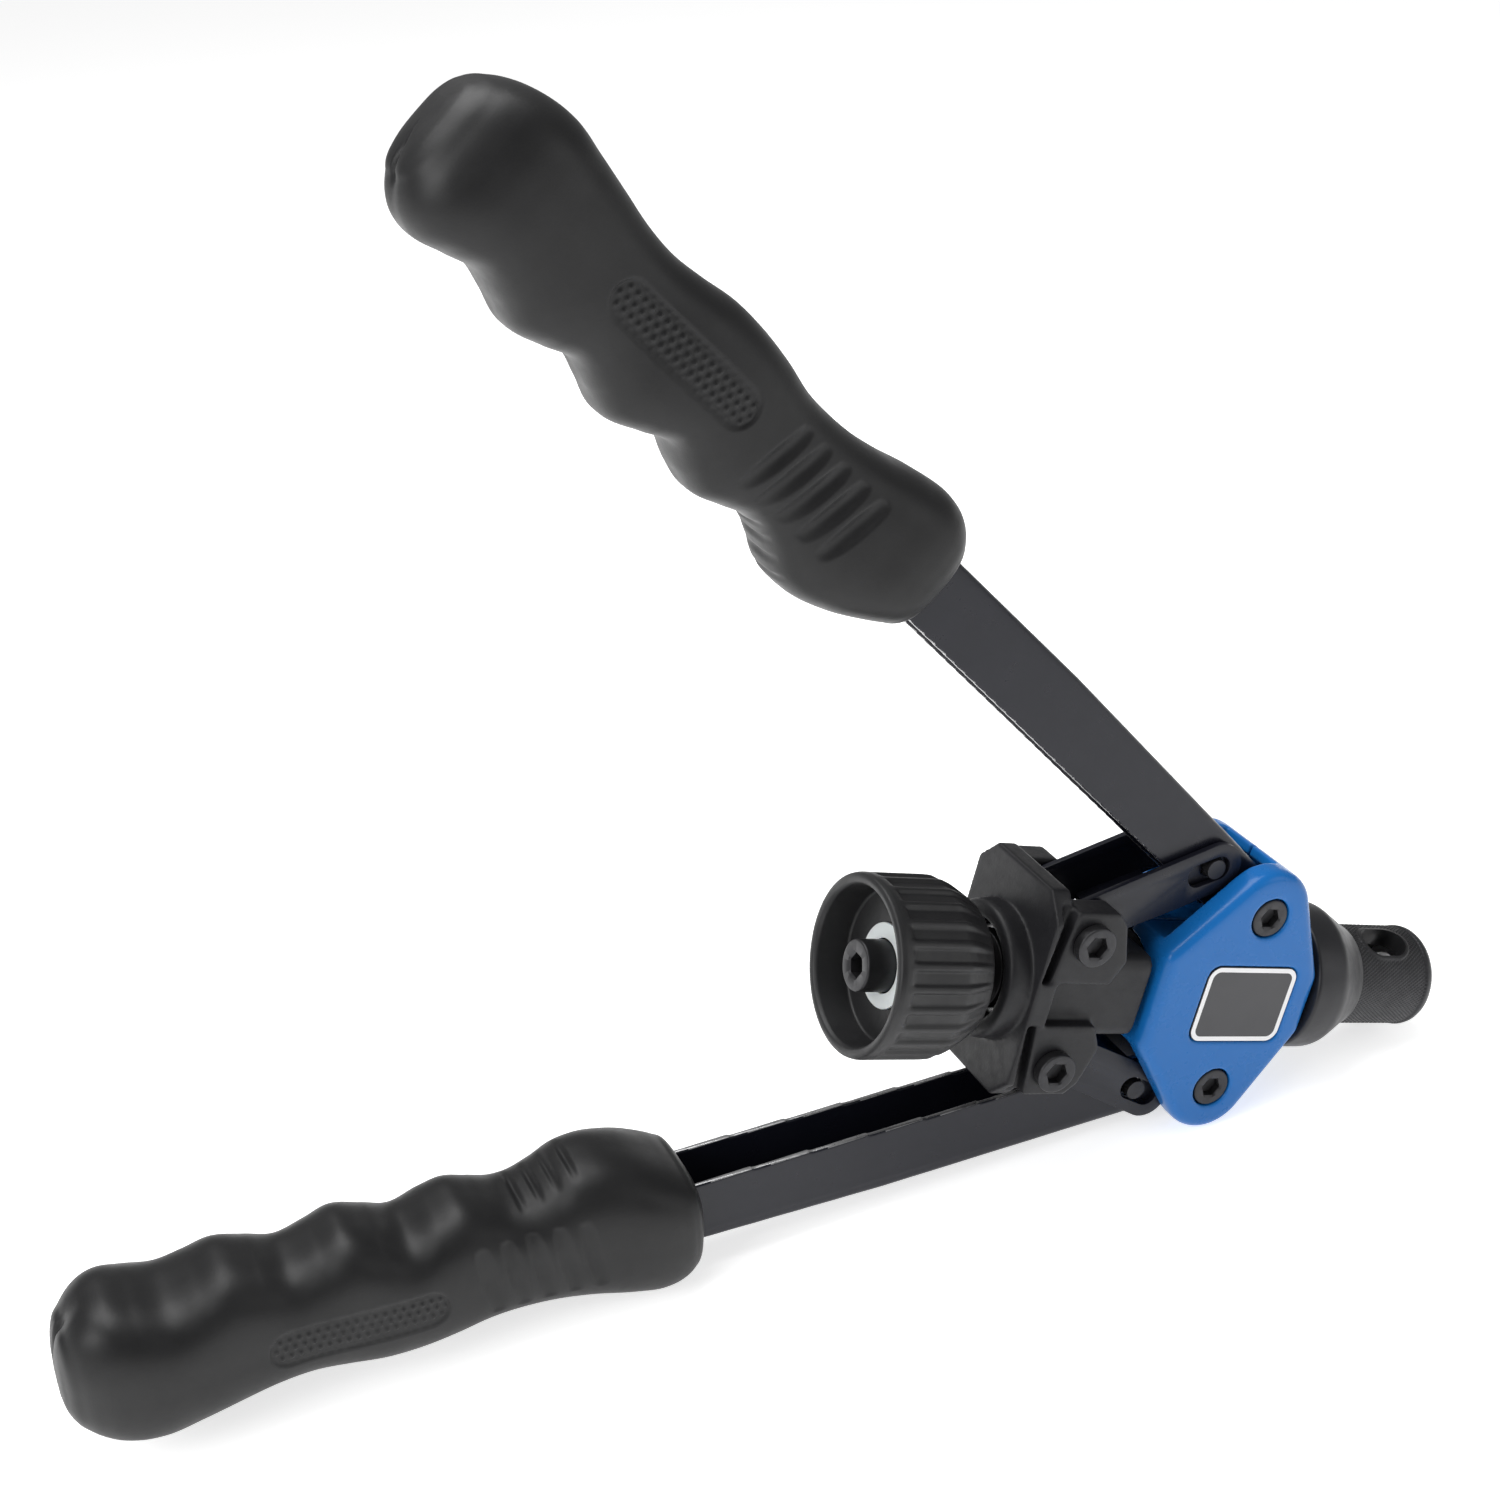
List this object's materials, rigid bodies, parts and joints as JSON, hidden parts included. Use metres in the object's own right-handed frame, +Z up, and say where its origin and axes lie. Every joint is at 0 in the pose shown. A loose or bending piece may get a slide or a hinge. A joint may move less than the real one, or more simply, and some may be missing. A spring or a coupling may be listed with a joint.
{
  "type": "hand riveter",
  "caption": "Two-handed rivet-nut setter: hinged channel arms with moulded grips pull a spindle with a fluted knob back through a blue head and a knurled nose.",
  "frame": {"origin": "middle of the bounding box on the floor, with the tool upright on its lower grip and the lower end of its head", "axes": "+X towards the nose along the floor, +Y along the hinge pins away from the near cover, +Z up; the spindle points nose-down from +X"},
  "size_m": [0.3486, 0.043, 0.2721],
  "materials": {
    "blue_enamel": "gloss",
    "black_paint": "semi-gloss",
    "cast_black": "satin black paint over cast steel",
    "black_oxide": "black oxide",
    "bright_steel": "bright",
    "grip_rubber": "matt",
    "knob_plastic": "matt",
    "white_nylon": "satin",
    "badge_film": "satin"
  },
  "bodies": {
    "head": {"near_cover": "blue_enamel", "far_cover": "blue_enamel", "head_core": "black_oxide", "near_badge": "badge_film", "far_badge": "badge_film", "upper_pivot_bolt": "black_oxide", "upper_pivot_nut": "black_oxide", "upper_pivot_bush": "bright_steel", "lower_pivot_bolt": "black_oxide", "lower_pivot_nut": "black_oxide", "lower_pivot_bush": "bright_steel", "nose_collar": "black_paint"},
    "nose": {"nose_sleeve": "black_oxide", "anvil": "bright_steel"},
    "upper_handle": {"upper_arm": "black_paint", "upper_grip": "grip_rubber", "upper_link_pin": "bright_steel"},
    "lower_handle": {"lower_arm": "black_paint", "lower_grip": "grip_rubber", "lower_link_pin": "bright_steel"},
    "crosshead": {"yoke": "cast_black", "upper_yoke_bolt": "black_oxide", "upper_yoke_nut": "black_oxide", "upper_link_bush": "bright_steel", "lower_yoke_bolt": "black_oxide", "lower_yoke_nut": "black_oxide", "lower_link_bush": "bright_steel"},
    "upper_strut": {"upper_link": "black_paint"},
    "lower_strut": {"lower_link": "black_paint"},
    "puller": {"spindle": "black_oxide", "knob": "knob_plastic", "knob_washer": "white_nylon", "thrust_washer": "bright_steel", "spindle_circlip": "bright_steel", "mandrel_coupling": "bright_steel"}
  },
  "joints": [
    {"name": "upper_handle_hinge", "type": "hinge", "parent": "head", "child": "upper_handle", "pos_m": [0.11563, 0, 0.05639], "axis": [0, 1, 0], "range_deg": [-20.5, 6]},
    {"name": "lower_handle_hinge", "type": "hinge", "parent": "head", "child": "lower_handle", "pos_m": [0.10089, 0, 0.01197], "axis": [0, 1, 0], "range_deg": [-1.6, 5.3]},
    {"name": "crosshead_slide", "type": "slide", "parent": "head", "child": "crosshead", "axis": [0.9491, 0, -0.3149], "range_m": [-0.0047, 0.0014]},
    {"name": "upper_strut_hinge", "type": "hinge", "parent": "crosshead", "child": "upper_strut", "pos_m": [0.06499, 0, 0.06603], "axis": [0, 1, 0], "range_deg": [-2.7, 8.9]},
    {"name": "lower_strut_hinge", "type": "hinge", "parent": "crosshead", "child": "lower_strut", "pos_m": [0.05453, 0, 0.03451], "axis": [0, 1, 0], "range_deg": [-4.3, 1.4]},
    {"name": "knob_turn", "type": "hinge", "parent": "crosshead", "child": "puller", "pos_m": [0.03233, 0, 0.05937], "axis": [0.9491, 0, -0.3149], "continuous": true},
    {"name": "nose_turn", "type": "hinge", "parent": "head", "child": "nose", "pos_m": [0.16046, 0, 0.01686], "axis": [0.9491, 0, -0.3149], "continuous": true}
  ],
  "couplings": [
    {"joint": "lower_handle_hinge", "follows": "upper_handle_hinge", "ratio": -0.25},
    {"joint": "crosshead_slide", "follows": "upper_handle_hinge", "m_per_rad": 0.0129},
    {"joint": "upper_strut_hinge", "follows": "upper_handle_hinge", "ratio": -0.425},
    {"joint": "lower_strut_hinge", "follows": "upper_handle_hinge", "ratio": 0.2}
  ]
}
